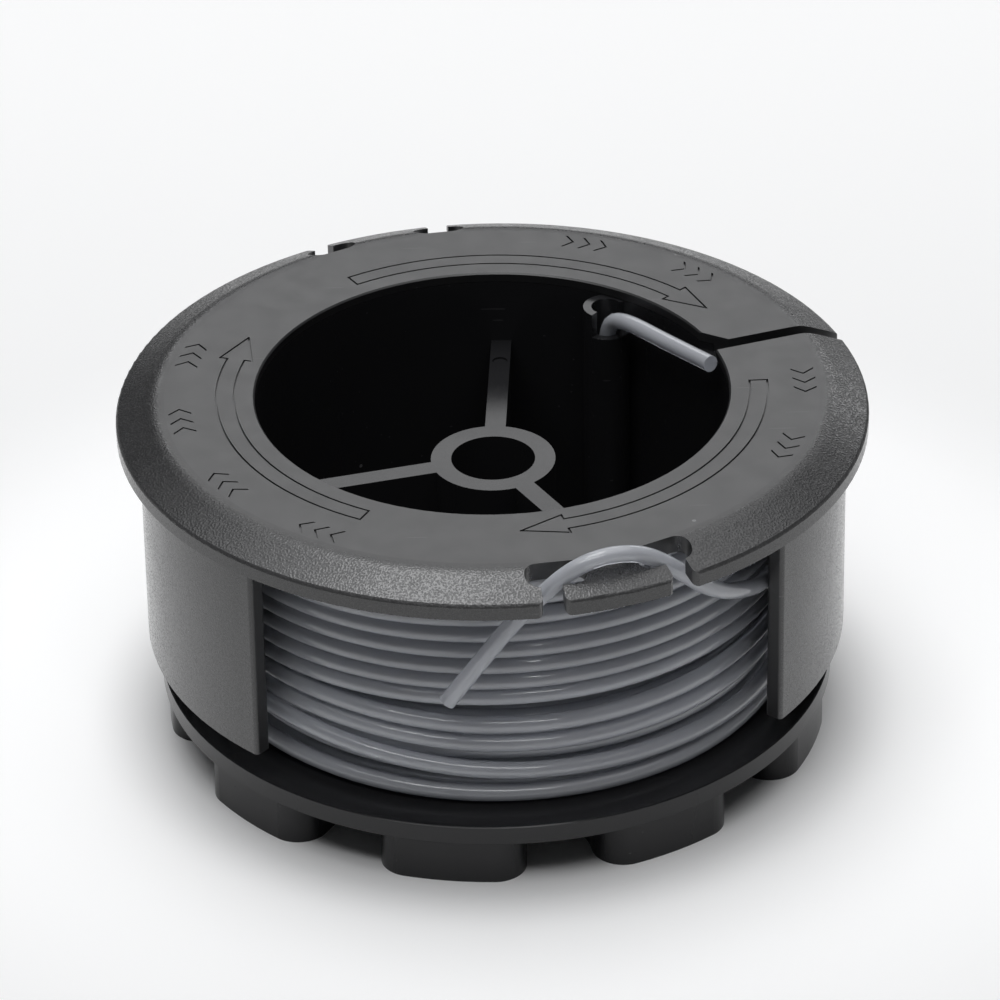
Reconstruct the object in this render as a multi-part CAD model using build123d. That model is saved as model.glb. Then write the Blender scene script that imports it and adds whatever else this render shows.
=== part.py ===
"""Spool of trimmer line: a lobed drum base, a skirted upper flange and the wound nylon line.

Millimetres. The spool stands on its lobes: the origin is on the floor below the axis, +Z is the
axis pointing up, and -Y is the side with the parked end of the line. Angles are in degrees from +X.
"""
import os
from math import atan2, cos, degrees, hypot, pi, radians, sin, tan

from build123d import *

# The line
LINE_DIAMETER = 1.65
TURN_PITCH = 1.75
LAYERS = 3
LAYER_STEP = 1.45
ROUTE_ARC_SHARE = 0.45

# Heights, from the floor up
LOBE_HEIGHT = 4.55
BASE_THICKNESS = 2.0
WINDING_SPACE = 26.45
FLANGE_THICKNESS = 1.8

# Drum base
BASE_MARGIN = 3.6
BASE_EDGE_BEVEL = 0.1
DRUM_INNER_RADIUS = 22.7
DRUM_WALL = 1.8
LOBE_COUNT = 9
LOBE_FIRST_ANGLE = -98.7
LOBE_STEP_IN = 0.5
LOBE_CORNER_ROUND = 3.0
LOBE_WALL = 1.7
VALLEY_WIDTH = 6.4
VALLEY_DEPTH = 8.0
HUB_OUTER_RADIUS = 6.0
HUB_BORE_RADIUS = 4.05
HUB_BELOW_TOP = 7.65
HUB_OFF_FLOOR = 0.4
SPOKE_WIDTH = 2.0
SPOKE_ANGLES = (87.4, 195.0, 300.1)
EJECTOR_MARK_RADIUS = 0.75
EJECTOR_MARK_DEPTH = 0.2
EJECTOR_MARK_SET_IN = 4.1

# Eyelet for the inner end of the line
EYELET_ANGLE = 57.1
EYELET_SET_IN = 1.73
EYELET_BORE_RADIUS = 1.5
EYELET_WALL = 0.8
EYELET_BELOW_TOP = 1.1
EYELET_LIP_BELOW_TOP = 3.6
EYELET_OPEN_FROM = -130.0
EYELET_OPEN_TO = 28.0
ANCHOR_HOLE_CLEARANCE = 0.6
ANCHOR_BELOW_TOP = 8.5
ANCHOR_TURN_IN = 0.3

# Upper flange
RIM_OVERHANG = 2.1
SLOPE_WIDTH = 3.8
CREASE_ROUND = 4.0
SLOPE_DROP = 1.7
LIP_HEIGHT = 1.5
RIM_EDGE_ROUND = 0.35
MOUTH_EDGE_BEVEL = 0.15
RABBET_DEPTH = 0.8
RABBET_WIDTH = 0.9
RABBET_CLEARANCE = 0.05

# Skirts below the flange
SKIRT_CLEARANCE = 3.0
SKIRT_WALL = 1.8
SKIRT_FALL = 24.7
SKIRT_ROOT = 0.4
SKIRT_EDGE_ROUND = 0.4
SKIRT_FROM = -37.8
SKIRT_TO = 48.0

# Notches that hold the parked line
NOTCH_PAIR_ANGLE = -71.3
NOTCH_HALF_ANGLE = 10.1
NOTCH_STEM_WIDTH = 2.05
NOTCH_MOUTH_ROUND = 0.7
NOTCH_BAR_SET_IN = 3.05
NOTCH_BAR_WIDTH = 2.6
FRONT_BAR_LENGTH = 5.8
FRONT_BAR_SHIFT = 0.58
REAR_BAR_LENGTH = 5.0
REAR_BAR_SHIFT = 0.15

# Slit that lets the line out of the drum
SLIT_ANGLE = 19.2
SLIT_WIDTH = 1.5
SLIT_FLARE_ANGLE = 27.0
SLIT_FLARE_DEPTH = 1.9

# Engraved marks
ENGRAVE_WIDTH = 0.2
ENGRAVE_DEPTH = 0.2
ARROW_SET_OUT = 2.8
ARROW_WIDTH = 1.7
ARROW_HEAD_WIDTH = 3.2
ARROW_HEAD_ANGLE = 9.6
ARROW_SWEEP = 86.6
ARROW_FIRST_TIP = 35.4
ARROW_COUNT = 3
CHEVRON_SET_IN = 2.3
CHEVRON_HEIGHT = 2.2
CHEVRON_LEAN = 0.9
CHEVRON_STROKE = 0.25
CHEVRON_STEP = 3.3
CHEVRONS_IN_GROUP = 3
CHEVRON_GROUPS = (72.0, 48.0, 2.0, -22.0, 166.0, 190.0, 214.0, 238.0)

# Winding
WINDING_CLEARANCE = 0.05
UPPER_TURNS = 8
LOWER_TURNS = 5
GROUP_GAP = 1.55
LOWER_PITCH = 1.9

# How far a cut runs past the surface that it opens
PAST = 1.0

# Worked out from the sizes above
LINE_RADIUS = LINE_DIAMETER / 2
BASE_TOP = LOBE_HEIGHT + BASE_THICKNESS
DRUM_TOP = BASE_TOP + WINDING_SPACE
TOP = DRUM_TOP + FLANGE_THICKNESS
RIM_BOTTOM = TOP - SLOPE_DROP - LIP_HEIGHT
HUB_TOP = TOP - HUB_BELOW_TOP
ANCHOR_HEIGHT = TOP - ANCHOR_BELOW_TOP
DRUM_OUTER_RADIUS = DRUM_INNER_RADIUS + DRUM_WALL
OUTER_LAYER_RADIUS = DRUM_OUTER_RADIUS + WINDING_CLEARANCE + LINE_RADIUS + (LAYERS - 1) * LAYER_STEP
WINDING_RADIUS = OUTER_LAYER_RADIUS + LINE_RADIUS
BASE_RADIUS = WINDING_RADIUS + BASE_MARGIN
SKIRT_INNER_RADIUS = WINDING_RADIUS + SKIRT_CLEARANCE
SKIRT_OUTER_RADIUS = SKIRT_INNER_RADIUS + SKIRT_WALL
RIM_RADIUS = SKIRT_OUTER_RADIUS + RIM_OVERHANG
CREASE_RADIUS = RIM_RADIUS - SLOPE_WIDTH
NOTCH_BAR_RADIUS = RIM_RADIUS - NOTCH_BAR_SET_IN
ARROW_RADIUS = DRUM_INNER_RADIUS + ARROW_SET_OUT
CHEVRON_RADIUS = CREASE_RADIUS - CHEVRON_SET_IN
EYELET_RADIUS = EYELET_BORE_RADIUS + EYELET_WALL
EYELET_REACH = DRUM_INNER_RADIUS - EYELET_SET_IN
EJECTOR_MARK_REACH = DRUM_INNER_RADIUS - EJECTOR_MARK_SET_IN


def polar(radius, angle, height=0.0):
    """Point at a radius and an angle about the axis."""
    return (radius * cos(radians(angle)), radius * sin(radians(angle)), height)


def ring_sector(inner, outer, start, end):
    """Flat face between two radii and two angles."""
    outside = CenterArc((0, 0), outer, start, end - start)
    inside = CenterArc((0, 0), inner, start, end - start)
    sides = Line(outside @ 0, inside @ 0) + Line(outside @ 1, inside @ 1)
    return make_face(outside + inside + sides)


def turned(*points):
    """Half section of a turned shape, as a face through (radius, height) points."""
    return make_face(Plane.XZ * Polyline(*points, close=True))


def rounded(face, radius, *corners):
    """Round the face's corners nearest to the given (radius, height) points."""
    picked = [face.vertices().sort_by_distance((r, 0, z))[0] for r, z in corners]
    return fillet(picked, radius)


def bevelled(face, size, *corners):
    """Bevel the face's corners nearest to the given (radius, height) points."""
    picked = [face.vertices().sort_by_distance((r, 0, z))[0] for r, z in corners]
    return chamfer(picked, size)


def lifted(face, low, high):
    """Extrude a flat face from one height to another."""
    return Pos(0, 0, low) * extrude(face, high - low)


def notch_face(bar_length, bar_shift):
    """Plan of one T notch on +X, with its bar shifted to the side by the given amount."""
    stem_length = RIM_RADIUS + PAST - NOTCH_BAR_RADIUS
    stem = Pos(NOTCH_BAR_RADIUS + stem_length / 2, 0) * Rectangle(stem_length, NOTCH_STEM_WIDTH)
    bar = Pos(NOTCH_BAR_RADIUS, bar_shift) * Rot(0, 0, 90) * SlotOverall(bar_length, NOTCH_BAR_WIDTH)
    mouth_half = NOTCH_STEM_WIDTH / 2 + NOTCH_MOUTH_ROUND
    mouth_start = RIM_RADIUS - NOTCH_MOUTH_ROUND
    mouth_depth = NOTCH_MOUTH_ROUND + PAST
    mouth = Pos(mouth_start + mouth_depth / 2, 0) * Rectangle(mouth_depth, 2 * mouth_half)
    for edge in (-mouth_half, mouth_half):
        mouth -= Pos(mouth_start, edge) * Circle(NOTCH_MOUTH_ROUND)
    return stem + bar + mouth


def slit_face():
    """Plan of the slit, on its own angle, with the flared corner at the drum's mouth."""
    half = SLIT_WIDTH / 2
    start = DRUM_INNER_RADIUS - PAST
    slit = Rot(0, 0, SLIT_ANGLE) * Pos((start + RIM_RADIUS + PAST) / 2, 0) * Rectangle(
        RIM_RADIUS + PAST - start, SLIT_WIDTH)
    far_edge = SLIT_ANGLE + degrees(atan2(half, DRUM_INNER_RADIUS + SLIT_FLARE_DEPTH))
    flare = make_face(Polyline(
        polar(DRUM_INNER_RADIUS, SLIT_FLARE_ANGLE),
        polar(hypot(DRUM_INNER_RADIUS + SLIT_FLARE_DEPTH, half), far_edge),
        polar(start, SLIT_ANGLE),
        polar(start, SLIT_FLARE_ANGLE),
        close=True))
    return slit + flare


def stroke(start, end):
    """Engraved straight stroke between two points, as a flat face."""
    run = Vector(*end) - Vector(*start)
    middle = (Vector(*end) + Vector(*start)) / 2
    angle = degrees(atan2(run.Y, run.X))
    return Pos(middle.X, middle.Y) * Rot(0, 0, angle) * Rectangle(run.length + ENGRAVE_WIDTH, ENGRAVE_WIDTH)


def arrow_groove(tip_angle):
    """Engraved outline of a curved arrow that points clockwise, seen from above."""
    neck = tip_angle + ARROW_HEAD_ANGLE
    tail = tip_angle + ARROW_SWEEP
    tip = polar(ARROW_RADIUS / cos(radians(ARROW_HEAD_ANGLE)), tip_angle)
    inside = ARROW_RADIUS - ARROW_WIDTH / 2
    outside = ARROW_RADIUS + ARROW_WIDTH / 2
    groove = stroke(polar(inside, tail), polar(outside, tail))
    for side, edge in ((-1, inside), (1, outside)):
        wing = polar(ARROW_RADIUS + side * ARROW_HEAD_WIDTH / 2, neck)
        groove += ring_sector(edge - ENGRAVE_WIDTH / 2, edge + ENGRAVE_WIDTH / 2, neck, tail)
        groove += stroke(polar(edge, neck), wing)
        groove += stroke(wing, tip)
    return groove


def chevron_face(angle):
    """Plan of one small chevron that points clockwise."""
    half = CHEVRON_HEIGHT / 2
    points = (
        (half, 0), (0, -CHEVRON_LEAN), (-half, 0),
        (-half, CHEVRON_STROKE), (0, CHEVRON_STROKE - CHEVRON_LEAN), (half, CHEVRON_STROKE))
    face = make_face(Polyline(*[(CHEVRON_RADIUS + r, t) for r, t in points], close=True))
    return Rot(0, 0, angle) * face


def upper_flange():
    """Ring with a sloped, textured edge, two skirts, line notches, a slit and engraved marks."""
    mouth = DRUM_INNER_RADIUS
    seat = mouth + RABBET_WIDTH + RABBET_CLEARANCE
    ledge = DRUM_TOP + RABBET_DEPTH + RABBET_CLEARANCE
    face = turned(
        (mouth, ledge), (mouth, TOP), (CREASE_RADIUS, TOP), (RIM_RADIUS, TOP - SLOPE_DROP),
        (RIM_RADIUS, RIM_BOTTOM), (CREASE_RADIUS, DRUM_TOP), (seat, DRUM_TOP), (seat, ledge))
    face = bevelled(face, MOUTH_EDGE_BEVEL, (mouth, TOP))
    face = rounded(face, CREASE_ROUND, (CREASE_RADIUS, TOP))
    face = rounded(face, RIM_EDGE_ROUND, (RIM_RADIUS, TOP - SLOPE_DROP))
    body = revolve(face, Axis.Z)

    for turn in (0, 180):
        skirt = ring_sector(SKIRT_INNER_RADIUS, SKIRT_OUTER_RADIUS, SKIRT_FROM + turn, SKIRT_TO + turn)
        skirt = fillet(skirt.vertices(), SKIRT_EDGE_ROUND)
        body += lifted(skirt, TOP - SKIRT_FALL, DRUM_TOP + SKIRT_ROOT)

    for turn, bar_length, bar_shift in (
            (0, FRONT_BAR_LENGTH, FRONT_BAR_SHIFT), (180, REAR_BAR_LENGTH, REAR_BAR_SHIFT)):
        for side in (-1, 1):
            notch = notch_face(bar_length, -side * bar_shift)
            notch = Rot(0, 0, NOTCH_PAIR_ANGLE + turn + side * NOTCH_HALF_ANGLE) * notch
            body -= lifted(notch, RIM_BOTTOM - PAST, TOP + PAST)
    body -= lifted(slit_face(), RIM_BOTTOM, TOP + PAST)

    engraved = TOP - ENGRAVE_DEPTH
    for index in range(ARROW_COUNT):
        body -= lifted(arrow_groove(ARROW_FIRST_TIP + index * 360 / ARROW_COUNT), engraved, TOP + PAST)
    for group in CHEVRON_GROUPS:
        for place in range(CHEVRONS_IN_GROUP):
            angle = group + (place - (CHEVRONS_IN_GROUP - 1) / 2) * CHEVRON_STEP
            body -= lifted(chevron_face(angle), engraved, TOP + PAST)
    return body


def lobe_ring():
    """Hollow wall that follows the lobes under the base."""
    radius = BASE_RADIUS - LOBE_STEP_IN
    half_width = VALLEY_WIDTH / 2 + LOBE_CORNER_ROUND
    valley_end = radius - VALLEY_DEPTH + VALLEY_WIDTH / 2
    valley = Pos(valley_end + half_width, 0) * Rectangle(2 * half_width, 2 * half_width)
    valley += Pos(valley_end, 0) * Circle(half_width)
    pitch = 360 / LOBE_COUNT
    core = Circle(radius - LOBE_CORNER_ROUND)
    for index in range(LOBE_COUNT):
        core -= Rot(0, 0, LOBE_FIRST_ANGLE + (index + 0.5) * pitch) * valley
    outside = offset(core, LOBE_CORNER_ROUND)
    inside = offset(core, LOBE_CORNER_ROUND - LOBE_WALL)
    return lifted(outside - inside, 0, LOBE_HEIGHT)


def eyelet():
    """Tube on the drum's wall, cut low on the side where the line leaves it."""
    centre = polar(EYELET_REACH, EYELET_ANGLE)
    tube = lifted(Pos(*centre) * Circle(EYELET_RADIUS), BASE_TOP, TOP - EYELET_BELOW_TOP)
    open_side = ring_sector(EYELET_BORE_RADIUS / 2, EYELET_RADIUS + PAST, EYELET_OPEN_FROM, EYELET_OPEN_TO)
    low_side = lifted(Pos(*centre) * open_side, TOP - EYELET_LIP_BELOW_TOP, TOP)
    inside_drum = lifted(Circle(DRUM_INNER_RADIUS), 0, TOP)
    return tube - (low_side & inside_drum)


def drum_base():
    """Drum, lower flange, lobes, hub, spokes and eyelet, moulded as one piece."""
    base = turned(
        (0, LOBE_HEIGHT), (BASE_RADIUS, LOBE_HEIGHT), (BASE_RADIUS, BASE_TOP), (0, BASE_TOP))
    base = bevelled(base, BASE_EDGE_BEVEL, (BASE_RADIUS, LOBE_HEIGHT), (BASE_RADIUS, BASE_TOP))
    body = revolve(base, Axis.Z) + lobe_ring()
    wall = Circle(DRUM_OUTER_RADIUS) - Circle(DRUM_INNER_RADIUS)
    body += lifted(wall, BASE_TOP, DRUM_TOP)
    lip = Circle(DRUM_INNER_RADIUS + RABBET_WIDTH) - Circle(DRUM_INNER_RADIUS)
    body += lifted(lip, DRUM_TOP, DRUM_TOP + RABBET_DEPTH) - lifted(slit_face(), DRUM_TOP, TOP)
    body += lifted(Circle(HUB_OUTER_RADIUS), HUB_OFF_FLOOR, HUB_TOP)
    spoke_length = DRUM_INNER_RADIUS + DRUM_WALL / 2
    for angle in SPOKE_ANGLES:
        spoke = Rot(0, 0, angle) * Pos(spoke_length / 2, 0) * Rectangle(spoke_length, SPOKE_WIDTH)
        body += lifted(spoke, BASE_TOP, HUB_TOP)
    body += eyelet()
    body -= lifted(Circle(HUB_BORE_RADIUS), -PAST, TOP)
    mark = Pos(*polar(EJECTOR_MARK_REACH, SPOKE_ANGLES[0])) * Circle(EJECTOR_MARK_RADIUS)
    body -= lifted(mark, HUB_TOP - EJECTOR_MARK_DEPTH, HUB_TOP)
    body -= lifted(Pos(*polar(EYELET_REACH, EYELET_ANGLE)) * Circle(EYELET_BORE_RADIUS), BASE_TOP, TOP)
    hole_radius = LINE_RADIUS + ANCHOR_HOLE_CLEARANCE
    hole_length = DRUM_OUTER_RADIUS + PAST - EYELET_REACH
    hole = Rot(0, 90, 0) * Cylinder(hole_radius, hole_length, align=(Align.CENTER, Align.CENTER, Align.MIN))
    body -= Rot(0, 0, EYELET_ANGLE) * Pos(EYELET_REACH, 0, ANCHOR_HEIGHT) * hole
    return body


def turn_heights():
    """Heights of the outer layer's turns, from the bottom up."""
    heights = [BASE_TOP + WINDING_CLEARANCE + LINE_RADIUS + index * LOWER_PITCH for index in range(LOWER_TURNS)]
    first_upper = heights[-1] + TURN_PITCH + GROUP_GAP
    return heights + [first_upper + index * TURN_PITCH for index in range(UPPER_TURNS)]


def line_winding():
    """Wound line as one solid, with the ridges of the outer layer's turns."""
    heights = turn_heights()
    inner = DRUM_OUTER_RADIUS + WINDING_CLEARANCE
    core_top = heights[-1] + LINE_RADIUS / 2
    core_outer = OUTER_LAYER_RADIUS - LINE_RADIUS / 2
    profile = turned(
        (inner, BASE_TOP), (core_outer, BASE_TOP), (core_outer, core_top), (inner, core_top))
    for height in heights:
        profile += Plane.XZ * Pos(OUTER_LAYER_RADIUS, height) * Circle(LINE_RADIUS)
    return revolve(profile, Axis.Z)


def line_tube(name, points):
    """Round tube along straight runs joined by arcs as large as the runs allow."""
    path_points = [Vector(*point) for point in points]
    radii = []
    for before, corner, after in zip(path_points, path_points[1:], path_points[2:]):
        turn = (corner - before).get_angle(after - corner)
        run = min((corner - before).length, (after - corner).length)
        radii.append(ROUTE_ARC_SHARE * run / tan(radians(turn / 2)))
    path = FilletPolyline(*path_points, radius=radii)
    tube = sweep(Plane(path @ 0, z_dir=path % 0) * Circle(LINE_RADIUS), path=path)
    section = pi * LINE_RADIUS ** 2
    print(name, "length", round(path.length, 2), "volume share", round(tube.volume / section / path.length, 4))
    print("  radii", [round(radius, 1) for radius in radii])
    return tube


def inner_route():
    """Inner end of the line: from the winding, through the drum's wall, up the eyelet and over its lip."""
    return [
        polar(DRUM_OUTER_RADIUS, EYELET_ANGLE, ANCHOR_HEIGHT),
        polar(EYELET_REACH - ANCHOR_TURN_IN, EYELET_ANGLE, ANCHOR_HEIGHT),
        (11.4, 17.3, TOP - 2.9),
        (12.9, 15.4, TOP - 1.3),
        (17.0, 9.7, TOP - 0.75),
        (21.35, 3.6, TOP + 0.1),
    ]


def outer_route():
    """Outer end of the line: off the winding, up through one notch, down the other, to its cut end."""
    return [
        polar(30.4, 36.0, TOP - 12.2),
        polar(30.4, 16.0, TOP - 11.8),
        polar(30.4, -4.0, TOP - 11.3),
        polar(30.5, -23.0, TOP - 10.7),
        polar(31.6, -41.0, TOP - 10.0),
        polar(32.5, -53.5, TOP - 6.3),
        polar(33.1, -61.5, TOP - 1.5),
        polar(33.7, -67.5, TOP + 1.1),
        polar(33.8, -74.5, TOP + 1.4),
        polar(33.0, -80.4, TOP - 1.2),
        (1.6, -32.5, TOP - 5.9),
        (-4.67, -32.3, TOP - 14.4),
    ]


parts = {
    "upper_flange": upper_flange(),
    "drum_base": drum_base(),
    "line_winding": line_winding(),
    "line_inner_end": line_tube("line_inner_end", inner_route()),
    "line_outer_end": line_tube("line_outer_end", outer_route()),
}

os.makedirs("parts", exist_ok=True)
for node, shape in parts.items():
    export_step(shape, f"parts/{node}.step")
    box = shape.bounding_box()
    print(node, "solids", len(shape.solids()), "volume", round(shape.volume, 1), "box", box.min, box.max)
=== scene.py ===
# %% [markdown]
# # A spool of trimmer line
# The object is a spare spool for a grass trimmer: a gloss black drum with a lobed base, a satin black
# flange with two skirts, and a few metres of grey nylon line with both ends parked. The CAD model already
# has the two mouldings at their real size, so they stay as they are and only get finishes here. The line
# is drawn again as one curve, because a winding that is one solid with ridges doesn't look like a line
# wound by hand.

# %% Load the fixed frame
from math import cos, pi, radians, sin

import bpy
from mathutils import Matrix, Vector


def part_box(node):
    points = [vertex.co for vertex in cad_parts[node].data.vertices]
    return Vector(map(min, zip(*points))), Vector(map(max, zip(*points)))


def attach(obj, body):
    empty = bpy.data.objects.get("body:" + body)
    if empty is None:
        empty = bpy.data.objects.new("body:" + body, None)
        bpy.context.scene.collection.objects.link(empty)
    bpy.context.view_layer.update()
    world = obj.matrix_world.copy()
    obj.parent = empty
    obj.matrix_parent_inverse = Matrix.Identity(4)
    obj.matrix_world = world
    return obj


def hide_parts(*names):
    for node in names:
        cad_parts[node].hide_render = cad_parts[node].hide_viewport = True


MM_IN_M = 1000

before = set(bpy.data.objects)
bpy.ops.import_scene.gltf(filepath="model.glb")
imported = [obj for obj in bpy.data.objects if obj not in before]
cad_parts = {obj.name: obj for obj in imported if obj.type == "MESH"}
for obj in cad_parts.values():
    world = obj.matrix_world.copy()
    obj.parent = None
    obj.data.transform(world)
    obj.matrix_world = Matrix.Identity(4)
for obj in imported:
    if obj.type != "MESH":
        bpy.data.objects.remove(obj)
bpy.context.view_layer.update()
for name in sorted(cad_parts):
    low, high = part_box(name)
    print(name, "from", [round(MM_IN_M * v, 2) for v in low], "to", [round(MM_IN_M * v, 2) for v in high])

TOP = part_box("upper_flange")[1][2]
print("the flange's top is", round(MM_IN_M * TOP, 2), "mm above the floor")

# %% [markdown]
# ## The camera
# The photograph was taken from about 59 cm away with a long lens, looking down by a little more than 31
# degrees. A long lens keeps the far rim of the flange nearly as wide as the near one. A camera in Blender
# looks along its own -Z with +Y up, so its matrix can be written straight from the direction of the view
# and a small roll.

# %% Place the camera
EYE = Vector((0.0, -0.49448, 0.32481))
YAW, PITCH, ROLL = radians(0.068), radians(31.449), radians(-1.002)
view_dir = Vector((sin(YAW) * cos(PITCH), cos(YAW) * cos(PITCH), -sin(PITCH)))
level = Vector((cos(YAW), -sin(YAW), 0.0))
upright = level.cross(view_dir)
across = cos(ROLL) * level + sin(ROLL) * upright
upward = cos(ROLL) * upright - sin(ROLL) * level

camera_data = bpy.data.cameras.new("camera")
camera_data.sensor_width = 36.0
camera_data.lens = 216.0
camera_data.clip_start = 0.01
camera = bpy.data.objects.new("camera", camera_data)
bpy.context.scene.collection.objects.link(camera)
camera.matrix_world = Matrix.Translation(EYE) @ Matrix((across, upward, -view_dir)).transposed().to_4x4()
bpy.context.scene.camera = camera
print("camera", round(EYE.length, 3), "m from the origin, lens", camera_data.lens, "mm")

# %% [markdown]
# ## The line's inner end
# The line is one length of nylon about 1.65 mm thick. It starts at a free end inside the drum and goes
# down through the eyelet and out through the drum's wall. The points repeat the route of the CAD tube,
# and each has a depth below the flange's top, because that is how it would be measured on the spool. They
# are listed one by one, since no formula knows where somebody parked the end.

# %% Points of the inner end
ANCHOR_DEPTH = 8.5


def spot(x, y, below):
    """Point at x and y in millimetres and a depth in millimetres below the flange's top."""
    return Vector((x / MM_IN_M, y / MM_IN_M, TOP - below / MM_IN_M))


def polar(radius, angle, below):
    """The same with a radius in millimetres and an angle in degrees."""
    return spot(radius * cos(radians(angle)), radius * sin(radians(angle)), below)


line_points = [
    spot(21.05, 4.0, -0.05), spot(17.0, 9.7, 0.75), spot(12.9, 15.4, 1.3), spot(11.4, 17.3, 2.9),
    polar(20.7, 57.1, ANCHOR_DEPTH), polar(24.9, 55.0, ANCHOR_DEPTH),
]
print("points on the inner end", len(line_points))

# %% [markdown]
# ## The line's turns
# Three layers are wound on the drum, and a loop walks along them in small steps. The two hidden layers
# need no more than a run down and a run up, and both step over the groove between the two groups of outer
# turns, so that it stays dark. The outer turns were laid by hand and none is level, so each has its own
# depth at the right, the front and the left of what the photograph shows. A spline of order 3 touches the
# middle of each run between its points, so the points of a turn lie a little outside the turn's own
# radius.

# %% Points of the turns
TURN, STEP = 360, 15
REACH_OUT = 1 / cos(radians(STEP / 2))
RIGHT, FRONT, LEFT = 42, 90, 131
OUTER_TURNS = [
    (3.6, 3.9, 4.3), (5.35, 5.65, 6.1), (7.4, 7.75, 8.5), (9.3, 9.55, 10.0), (11.1, 11.3, 11.65),
    (12.85, 13.05, 13.4), (14.6, 14.75, 15.15), (16.3, 16.5, 16.9), (19.4, 19.8, 18.85), (21.6, 21.85, 20.75),
    (27.4, 27.35, 27.0), (25.4, 24.75, 22.75),
]
INNER_LAYER, MIDDLE_LAYER, OUTER_LAYER, OVER_LAYERS = 25.375, 26.825, 28.275, 29.95
INNER_TURNS, MIDDLE_TURNS = 10, 13
HIGHEST_HIDDEN, LOWEST_HIDDEN = 3.3, 27.4
START = -40
SECOND = RIGHT + INNER_TURNS * TURN
THIRD = SECOND + MIDDLE_TURNS * TURN
LAST = THIRD + (len(OUTER_TURNS) - 1) * TURN
CLIMBED, END = LAST + 324 - RIGHT, LAST + 380 - RIGHT
CHANGE = 60


def between(knots, at):
    """Value at a place along a list of (place, value) knots, by straight lines."""
    for (a, low), (b, high) in zip(knots, knots[1:]):
        if at <= b:
            return low + (high - low) * (at - a) / (b - a)
    return knots[-1][1]


depths = [
    (START, ANCHOR_DEPTH), (4.5 * TURN, 17.2), (5 * TURN, 19.4), (SECOND - CHANGE, LOWEST_HIDDEN),
    (SECOND, LOWEST_HIDDEN), (14.5 * TURN, 19.3), (15 * TURN, 17.0), (THIRD - CHANGE, HIGHEST_HIDDEN),
]
for turn, (right, front, left) in enumerate(OUTER_TURNS):
    start = THIRD + turn * TURN
    depths += [(start, right), (start + FRONT - RIGHT, front), (start + LEFT - RIGHT, left)]
depths += [(CLIMBED, 12.2), (END, 11.2)]
radii = [
    (START, INNER_LAYER), (SECOND - CHANGE, INNER_LAYER), (SECOND + 30, MIDDLE_LAYER),
    (THIRD - CHANGE, MIDDLE_LAYER), (THIRD + 20, OUTER_LAYER), (LAST + 30, OUTER_LAYER), (LAST + 89, 28.9),
    (LAST + 130, OVER_LAYERS), (END, OVER_LAYERS),
]
for along in range(START, END, STEP):
    line_points.append(polar(between(radii, along) * REACH_OUT, -along, between(depths, along)))
print("turns in the outer layer", len(OUTER_TURNS), "and steps in a turn", TURN // STEP)

# %% [markdown]
# ## The line's outer end
# The last turn climbs past the others, rises through one notch of the flange, bends over the tongue and
# comes down through the next notch, which holds it by friction until the spool is used. These points
# repeat the route of the CAD tube, with a few more where the photograph shows the bend closely.

# %% Points of the outer end
line_points += [
    polar(30.6, -27, 11.0), polar(31.2, -37, 10.8), polar(32.0, -46.1, 8.7), polar(32.5, -50.3, 7.35),
    polar(32.8, -55, 5.4), polar(33.15, -58.9, 3.15), polar(33.35, -62.8, 1.1), polar(33.5, -65.5, 0.0),
    polar(33.6, -68, -0.68), polar(33.65, -71.5, -1.07), polar(33.6, -74.9, -0.83), polar(33.5, -77.7, -0.08),
    polar(33.3, -80.4, 1.15), polar(33.0, -82.9, 2.8), polar(32.7, -87.1, 5.45),
    spot(-1.2, -32.4, 9.5), spot(-4.9, -32.3, 14.73),
]
print("points on the line", len(line_points))

# %% [markdown]
# ## The line as one curve
# A line is as thick at its ends as in its turns, so a single NURBS spline with a round bevel gives all of
# it, and one that starts and ends on its first and last points keeps the cut ends where they belong.
# Blender measures a curve's box from its points and their radius, so half of the line's thickness is
# written on the points and the bevel itself is one.

# %% Draw the line
DIAMETER = 0.00165
line_data = bpy.data.curves.new("trimmer_line", "CURVE")
line_data.dimensions = "3D"
line_data.bevel_depth = 1.0
line_data.bevel_resolution = 4
line_data.resolution_u = 4
line_data.use_fill_caps = True
spline = line_data.splines.new("NURBS")
spline.points.add(len(line_points) - 1)
for spline_point, place in zip(spline.points, line_points):
    spline_point.co = (*place, 1.0)
    spline_point.radius = DIAMETER / 2
spline.order_u = 3
spline.use_endpoint_u = True
trimmer_line = bpy.data.objects.new("trimmer_line", line_data)
bpy.context.scene.collection.objects.link(trimmer_line)
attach(trimmer_line, "root")
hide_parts("line_winding", "line_inner_end", "line_outer_end")
print("the line has", len(line_data.splines), "spline of order", spline.order_u)

# %% [markdown]
# ## Adding shader nodes from code
# A finish here is a small tree of shader nodes. Adding each node, setting it and linking it takes a line
# apiece, which hides the idea of the finish. Four helpers keep it readable: one adds any node and fills
# its sockets with a number or with a link, one does arithmetic, one fades smoothly between two values,
# and one blends colours.

# %% Helpers for shader nodes
def node(tree, kind, sockets=None, **settings):
    """Add a node, set its properties, and give each named socket a value or a link."""
    made = tree.nodes.new("ShaderNode" + kind)
    for name, value in settings.items():
        setattr(made, name, value)
    for socket, value in (sockets or {}).items():
        if isinstance(value, bpy.types.NodeSocket):
            tree.links.new(value, made.inputs[socket])
        else:
            made.inputs[socket].default_value = value
    return made


def sums(tree, operation, first, second):
    """Arithmetic on two numbers or sockets."""
    return node(tree, "Math", {0: first, 1: second}, operation=operation).outputs[0]


def fade(tree, value, start, end, low=0.0, high=1.0):
    """Go smoothly from low to high while the value goes from start to end."""
    sockets = {"Value": value, "From Min": start, "From Max": end, "To Min": low, "To Max": high}
    return node(tree, "MapRange", sockets, interpolation_type="SMOOTHSTEP").outputs[0]


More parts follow.
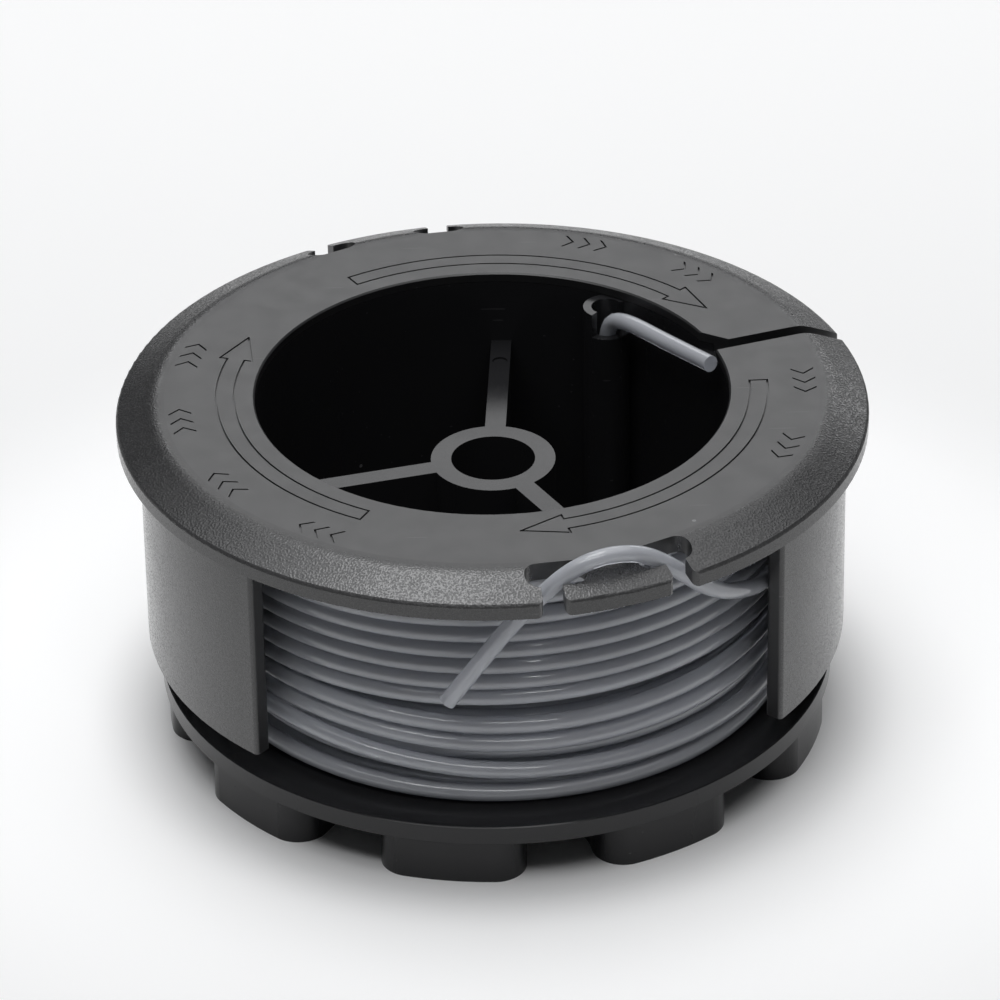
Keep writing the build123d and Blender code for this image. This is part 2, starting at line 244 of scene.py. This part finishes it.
def mixed(tree, share, first, second):
    """Blend two colours by a share."""
    return node(tree, "Mix", {0: share, 6: first, 7: second}, data_type="RGBA").outputs[2]


print("helpers ready: node, sums, fade, mixed")

# %% [markdown]
# ## Dust
# A spool lies in a box with others and picks up pale specks. Dust, scratches and the slight unevenness of
# plastic show on more than one finish, so each is a node group that takes a place on the surface and puts
# out one number, and each finish sets its own scale and share. A Voronoi texture divides space into
# cells, each with a random colour. One channel of that colour picks the cells that hold a speck, and
# another sets how large it is.

# %% Pale specks of dust
LARGEST_SPECK = 0.11


def effect(name, **amounts):
    """Empty node group that takes a place and some amounts, and puts out one number."""
    tree = bpy.data.node_groups.new(name, "ShaderNodeTree")
    tree.interface.new_socket("Place", in_out="INPUT", socket_type="NodeSocketVector")
    for label, amount in amounts.items():
        tree.interface.new_socket(label, in_out="INPUT", socket_type="NodeSocketFloat").default_value = amount
    tree.interface.new_socket("Amount", in_out="OUTPUT", socket_type="NodeSocketFloat")
    return tree, tree.nodes.new("NodeGroupInput").outputs, tree.nodes.new("NodeGroupOutput").inputs["Amount"]


dust, given, result = effect("dust", Scale=300.0, Share=0.2)
cells = node(dust, "TexVoronoi", {"Vector": given["Place"], "Scale": given["Scale"]})
chance = node(dust, "SeparateColor", {"Color": cells.outputs["Color"]}).outputs
size = sums(dust, "MULTIPLY", chance["Green"], LARGEST_SPECK)
speck = sums(dust, "LESS_THAN", cells.outputs["Distance"], size)
kept = sums(dust, "LESS_THAN", chance["Red"], given["Share"])
dust.links.new(sums(dust, "MULTIPLY", speck, kept), result)
print("dust has", len(dust.nodes), "nodes")

# %% [markdown]
# ## Scratches
# Sliding in and out of a housing leaves fine straight scratches. They are made like dust, from the
# middles of Voronoi cells, but the cells are stretched until each speck is a long thin stroke. Two sets
# that run in different directions are enough to look accidental.

# %% Fine scratches
STROKE_WIDTH = 0.09
STROKE_SETS = ((0.5, (60.0, 2200.0, 900.0)), (2.1, (90.0, 2600.0, 900.0)))

scratches, given, result = effect("scratches", Share=0.2)
strokes = []
for turn, stretch in STROKE_SETS:
    sockets = {"Vector": given["Place"], "Rotation": (0.0, 0.0, turn), "Scale": stretch}
    turned = node(scratches, "Mapping", sockets)
    cells = node(scratches, "TexVoronoi", {"Vector": turned.outputs[0], "Scale": 1.0})
    chance = node(scratches, "SeparateColor", {"Color": cells.outputs["Color"]}).outputs
    stroke = sums(scratches, "LESS_THAN", cells.outputs["Distance"], STROKE_WIDTH)
    kept = sums(scratches, "LESS_THAN", chance["Red"], given["Share"])
    strokes.append(sums(scratches, "MULTIPLY", stroke, kept))
scratches.links.new(sums(scratches, "MAXIMUM", *strokes), result)
print("scratches have", len(scratches.nodes), "nodes")

# %% [markdown]
# ## Unevenness
# A moulded face sinks a little as it cools, and a drawn line is never quite the same along its length. A
# broad noise and a finer one, which counts for less, do for both. The number that comes out stays near
# the middle of 0 to 1, so a finish that wants more contrast fades between two values close to it.

# %% Unevenness of a moulded or drawn surface
BROAD_SHARE, FINE_SHARE, FINER = 0.7, 0.3, 9.0

uneven, given, result = effect("uneven", Scale=150.0)
where, scale = given["Place"], given["Scale"]
broad = node(uneven, "TexNoise", {"Vector": where, "Scale": scale, "Detail": 2.0}).outputs[0]
fine_scale = sums(uneven, "MULTIPLY", scale, FINER)
fine = node(uneven, "TexNoise", {"Vector": where, "Scale": fine_scale, "Detail": 3.0}).outputs[0]
broad_part = sums(uneven, "MULTIPLY", broad, BROAD_SHARE)
fine_part = sums(uneven, "MULTIPLY", fine, FINE_SHARE)
uneven.links.new(sums(uneven, "ADD", broad_part, fine_part), result)
print("unevenness has", len(uneven.nodes), "nodes")

# %% [markdown]
# ## The flange's plastic
# The flange is one black moulding with three finishes from its tool. The flat ring is satin, the sloped
# edge, the rim and the outer faces of the skirts have a spark grain of about a fifth of a millimetre, and
# the ends and insides of the skirts and the notches are smooth. The finishes follow the shape, so the
# mask is worked out from the distance to the axis and from the direction in which the surface faces, and
# no painting is needed.

# %% Where the flange is grained
GRAIN_STARTS, GRAIN_FULL = 0.0313, 0.0325


def new_material(name):
    """Material with its node tree, its shader, and the place on the object in metres."""
    material = bpy.data.materials.new(name)
    material.use_nodes = True
    tree = material.node_tree
    place = node(tree, "TexCoord").outputs["Object"]
    return material, tree, tree.nodes["Principled BSDF"], place


def from_axis(tree, place):
    """Way from the spool's axis to a place, and its length."""
    way = node(tree, "VectorMath", {0: place, 1: (1.0, 1.0, 0.0)}, operation="MULTIPLY").outputs["Vector"]
    return way, node(tree, "VectorMath", {0: way}, operation="LENGTH").outputs["Value"]


flange_plastic, tree, shader, place = new_material("flange_plastic")
outward, radius = from_axis(tree, place)
away = node(tree, "VectorMath", {0: outward}, operation="NORMALIZE").outputs["Vector"]
facing = node(tree, "NewGeometry").outputs["Normal"]
outer_face = node(tree, "VectorMath", {0: facing, 1: away}, operation="DOT_PRODUCT").outputs["Value"]
upper_face = node(tree, "SeparateXYZ", {"Vector": facing}).outputs["Z"]
shown_face = sums(tree, "MAXIMUM", fade(tree, outer_face, 0.6, 0.8), fade(tree, upper_face, 0.5, 0.7))
grained = sums(tree, "MULTIPLY", fade(tree, radius, GRAIN_STARTS, GRAIN_FULL), shown_face)
print("the grain is full from", MM_IN_M * GRAIN_FULL, "mm out")

# %% [markdown]
# ### Its colour
# The plastic is nearly black and slightly uneven. The tips of the grain are paler, because handling wears
# them first, and dust and scratches are paler still. The grain itself is one fine noise, and the same
# noise is used for the colour, the shine and the bump, so that a tip is pale, bright and raised in one
# place.

# %% Colour of the flange
GRAIN_SCALE = 5200.0
PALE_SHARE = 0.35


def placed(tree, group, **sockets):
    """Put a node group in a material and give its output."""
    return node(tree, "Group", sockets, node_tree=group).outputs["Amount"]


def paled(tree, place, speck_scale, speck_share, scratch_share, scratch_strength):
    """How pale dust and scratches make the plastic at a place."""
    specks = placed(tree, dust, Place=place, Scale=speck_scale, Share=speck_share)
    marks = placed(tree, scratches, Place=place, Share=scratch_share)
    marks = sums(tree, "MULTIPLY", marks, scratch_strength)
    return sums(tree, "MULTIPLY", sums(tree, "MAXIMUM", specks, marks), PALE_SHARE)


grain = node(tree, "TexNoise", {"Vector": place, "Scale": GRAIN_SCALE, "Detail": 0.0}).outputs[0]
skin = placed(tree, uneven, Place=place, Scale=400.0)
pale = paled(tree, place, speck_scale=330.0, speck_share=0.12, scratch_share=0.12, scratch_strength=0.35)
tips = sums(tree, "MULTIPLY", fade(tree, grain, 0.45, 0.65), grained)
black = mixed(tree, skin, (0.012, 0.012, 0.0128, 1.0), (0.017, 0.017, 0.018, 1.0))
black = mixed(tree, tips, black, (0.032, 0.032, 0.033, 1.0))
tree.links.new(mixed(tree, pale, black, (0.35, 0.35, 0.36, 1.0)), shader.inputs["Base Color"])
print("a grain is about", round(MM_IN_M / GRAIN_SCALE, 2), "mm wide")

# %% [markdown]
# ### Its shine
# The satin ring scatters light widely, and the grained faces shine more, the upright ones most. The pits
# of the grain are duller than its tips. The rounded edge between the slope and the rim is rubbed dull,
# which also keeps what it mirrors from breaking up into a jagged line. The grain stands up fully on the
# slope and less on the upright faces.

# %% Shine and grain of the flange
SKIN_LOW, SKIN_HIGH = 0.3, 0.7
STEEP, LEVEL = 0.2, 0.7
RUBBED_DULL = 0.3
SKIN_HEIGHT = 0.05


def bumped(tree, shader, height, strength, distance):
    """Let the surface rise and fall by a height, with a strength and a distance in metres."""
    bump = node(tree, "Bump", {"Height": height, "Strength": strength, "Distance": distance})
    tree.links.new(bump.outputs["Normal"], shader.inputs["Normal"])


def wear(piece, material):
    """Give a piece one material."""
    piece.data.materials.clear()
    piece.data.materials.append(material)


satin = fade(tree, skin, SKIN_LOW, SKIN_HIGH, 0.36, 0.42)
sheen = sums(tree, "MULTIPLY", grained, fade(tree, upper_face, STEEP, LEVEL, 0.19, 0.07))
pits = sums(tree, "MULTIPLY", grained, fade(tree, grain, 0.38, 0.62, 0.1, -0.1))
rough = sums(tree, "ADD", sums(tree, "SUBTRACT", satin, sheen), pits)
rubbed = sums(tree, "MULTIPLY", fade(tree, upper_face, 0.05, 0.25), fade(tree, upper_face, 0.88, 0.7))
rubbed = sums(tree, "MULTIPLY", rubbed, grained)
rough = sums(tree, "ADD", rough, sums(tree, "MULTIPLY", rubbed, RUBBED_DULL))
tree.links.new(rough, shader.inputs["Roughness"])
depth = sums(tree, "MULTIPLY", grained, fade(tree, upper_face, STEEP, LEVEL, 0.25, 1.0))
height = sums(tree, "ADD", sums(tree, "MULTIPLY", grain, depth), sums(tree, "MULTIPLY", skin, SKIN_HEIGHT))
bumped(tree, shader, height, strength=1.0, distance=0.00003)
shader.inputs["Specular IOR Level"].default_value = 0.85
wear(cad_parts["upper_flange"], flange_plastic)
print("flange plastic has", len(tree.nodes), "nodes")

# %% [markdown]
# ## The base's plastic
# The drum, the lower flange and the lobes are the same black plastic from a polished tool. What shows on
# it is mostly what it reflects, so the finish is dark, fairly smooth and slightly uneven, with dust in
# the drum and fine scratches from the trimmer head's housing.

# %% Finish of the drum and base
base_plastic, tree, shader, place = new_material("base_plastic")
skin = placed(tree, uneven, Place=place, Scale=120.0)
pale = paled(tree, place, speck_scale=300.0, speck_share=0.1, scratch_share=0.15, scratch_strength=0.2)
black = mixed(tree, skin, (0.014, 0.014, 0.0152, 1.0), (0.018, 0.018, 0.0195, 1.0))
tree.links.new(mixed(tree, pale, black, (0.3, 0.3, 0.31, 1.0)), shader.inputs["Base Color"])
tree.links.new(fade(tree, skin, SKIN_LOW, SKIN_HIGH, 0.16, 0.24), shader.inputs["Roughness"])
shader.inputs["Specular IOR Level"].default_value = 0.4
bumped(tree, shader, skin, strength=0.25, distance=0.00004)
wear(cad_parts["drum_base"], base_plastic)
print("base plastic has", len(tree.nodes), "nodes")

# %% [markdown]
# ## The nylon
# The line is drawn grey nylon: slightly milky, smooth along its length, with faint draw marks and a slow
# waviness that breaks its highlights into dashes. A little more than half of the light goes through it
# and the rest comes back from inside, so a free end over the white floor looks pale and the turns on the
# black drum look darker with no change of colour. The marks run along the line, so the place is first
# unrolled: the way round the axis, the radius and the height. The way round is then pressed together,
# which draws the marks out lengthwise.

# %% Finish of the line
UNROLL_RADIUS = 0.029
PRESSED = 0.12
SPECK_STRENGTH = 0.5
MARK_HEIGHT = 0.06

nylon, tree, shader, place = new_material("nylon_line")
parts = node(tree, "SeparateXYZ", {"Vector": place}).outputs
way_round = sums(tree, "MULTIPLY", sums(tree, "ARCTAN2", parts["Y"], parts["X"]), UNROLL_RADIUS)
way_round = sums(tree, "MULTIPLY", way_round, PRESSED)
reach = from_axis(tree, place)[1]
unrolled = node(tree, "CombineXYZ", {"X": way_round, "Y": reach, "Z": parts["Z"]}).outputs[0]
drawn = placed(tree, uneven, Place=unrolled, Scale=900.0)
wavy = placed(tree, uneven, Place=place, Scale=130.0)
specks = placed(tree, dust, Place=place, Scale=420.0, Share=0.15)
specks = sums(tree, "MULTIPLY", specks, SPECK_STRENGTH)
grey = mixed(tree, drawn, (0.74, 0.76, 0.81, 1.0), (0.84, 0.86, 0.91, 1.0))
tree.links.new(mixed(tree, specks, grey, (0.8, 0.8, 0.8, 1.0)), shader.inputs["Base Color"])
tree.links.new(fade(tree, drawn, 0.35, 0.65, 0.04, 0.1), shader.inputs["Roughness"])
height = sums(tree, "ADD", sums(tree, "MULTIPLY", drawn, MARK_HEIGHT), wavy)
bumped(tree, shader, height, strength=0.5, distance=0.00012)
shader.inputs["Transmission Weight"].default_value = 0.55
shader.inputs["Specular IOR Level"].default_value = 0.8
shader.inputs["IOR"].default_value = 1.53
wear(trimmer_line, nylon)
print("nylon has", len(tree.nodes), "nodes")

# %% [markdown]
# ## The floor
# The photograph has an almost white floor that keeps a soft shadow. More lamp light would bleach the
# spool too, so the floor is only a pale grey and glows a little for the camera and for rays that are
# reflected or let through, while the light that it sends to the spool stays plain. The glow ends under
# the spool, where the photograph is dark, and it is stronger at the back. Close to the spool the floor is
# paler, which lightens the shadow.

# %% Lay the floor
FLOOR_HALF = 3
CORNERS = [(-1, -1), (1, -1), (1, 1), (-1, 1)]
NEAR_WHITE, FAR_WHITE = (0.90, 0.90, 0.90, 1.0), (0.66, 0.66, 0.66, 1.0)

floor_data = bpy.data.meshes.new("floor")
floor_data.from_pydata([(FLOOR_HALF * x, FLOOR_HALF * y, 0) for x, y in CORNERS], [], [(0, 1, 2, 3)])
floor = bpy.data.objects.new("floor", floor_data)
bpy.context.scene.collection.objects.link(floor)
floor_white, tree, shader, place = new_material("floor_white")
reach = node(tree, "VectorMath", {0: place}, operation="LENGTH").outputs["Value"]
behind = node(tree, "SeparateXYZ", {"Vector": place}).outputs["Y"]
sweep = mixed(tree, fade(tree, reach, 0.035, 0.08), NEAR_WHITE, FAR_WHITE)
tree.links.new(sweep, shader.inputs["Base Color"])
rays = node(tree, "LightPath").outputs
mirrored = sums(tree, "MAXIMUM", rays["Is Glossy Ray"], rays["Is Transmission Ray"])
seen = sums(tree, "MAXIMUM", rays["Is Camera Ray"], mirrored)
glow = sums(tree, "MULTIPLY", fade(tree, reach, 0.031, 0.041), fade(tree, behind, 0.04, 0.16, 0.25, 0.32))
tree.links.new(sums(tree, "MULTIPLY", seen, glow), shader.inputs["Emission Strength"])
shader.inputs["Emission Color"].default_value = (1.0, 1.0, 1.0, 1.0)
shader.inputs["Roughness"].default_value = 0.7
shader.inputs["Specular IOR Level"].default_value = 0.2
wear(floor, floor_white)
print("the floor is", 2 * FLOOR_HALF, "m wide")

# %% [markdown]
# ## The light
# A wide dim softbox hangs over the spool, with a brighter core that shows on the front of the sloped
# edge. A bright strip in front of it draws the dashes on the lower turns. Two cards stand behind: the
# flat ring mirrors the first, and the right side of the slope and the skirt catch the second. The room
# beside them stays dim, which is why the left side of the slope is dark. Brightness is given per area, so
# a lamp keeps its look when its size changes.

# %% Set the lights
LAMP_WHITE = (0.985, 0.99, 1.0)

world = bpy.data.worlds.new("studio")
bpy.context.scene.world = world
world.use_nodes = True
room = world.node_tree.nodes["Background"].inputs
room["Color"].default_value = (0.95, 0.97, 1.0, 1.0)
room["Strength"].default_value = 0.06


def softbox(name, place, aim, size, brightness):
    """Area light with a width and a height in metres, as bright as a white sheet times the brightness."""
    lamp = bpy.data.lights.new(name, "AREA")
    lamp.shape = "RECTANGLE"
    lamp.size, lamp.size_y = size
    lamp.energy = brightness * pi * size[0] * size[1]
    lamp.color = LAMP_WHITE
    holder = bpy.data.objects.new(name, lamp)
    holder.location = place
    holder.rotation_euler = (Vector(aim) - Vector(place)).to_track_quat("-Z", "Y").to_euler()
    bpy.context.scene.collection.objects.link(holder)
    print(name, round(lamp.energy, 2), "W")


softbox("overhead_panel", (0.0, 0.2, 0.85), (0.0, 0.2, 0.0), (1.2, 1.1), 1.25)
softbox("overhead_core", (-0.09, 0.12, 0.84), (-0.09, 0.12, 0.0), (0.34, 0.44), 3.8)
softbox("overhead_front", (-0.08, -0.46, 0.85), (0.0, -0.1, 0.0), (0.75, 0.16), 5.0)
softbox("back_card", (-0.02, 1.15, 0.7), (0.0, 0.0, 0.03), (0.7, 0.5), 1.9)
softbox("right_card", (0.6, 1.3, 0.55), (0.0, 0.0, 0.03), (0.5, 0.4), 2.0)

# %% [markdown]
# ## Close the scene
# The view is set to Standard, so that colours show as they are written.

# %% Set the view
bpy.context.scene.view_settings.view_transform = "Standard"
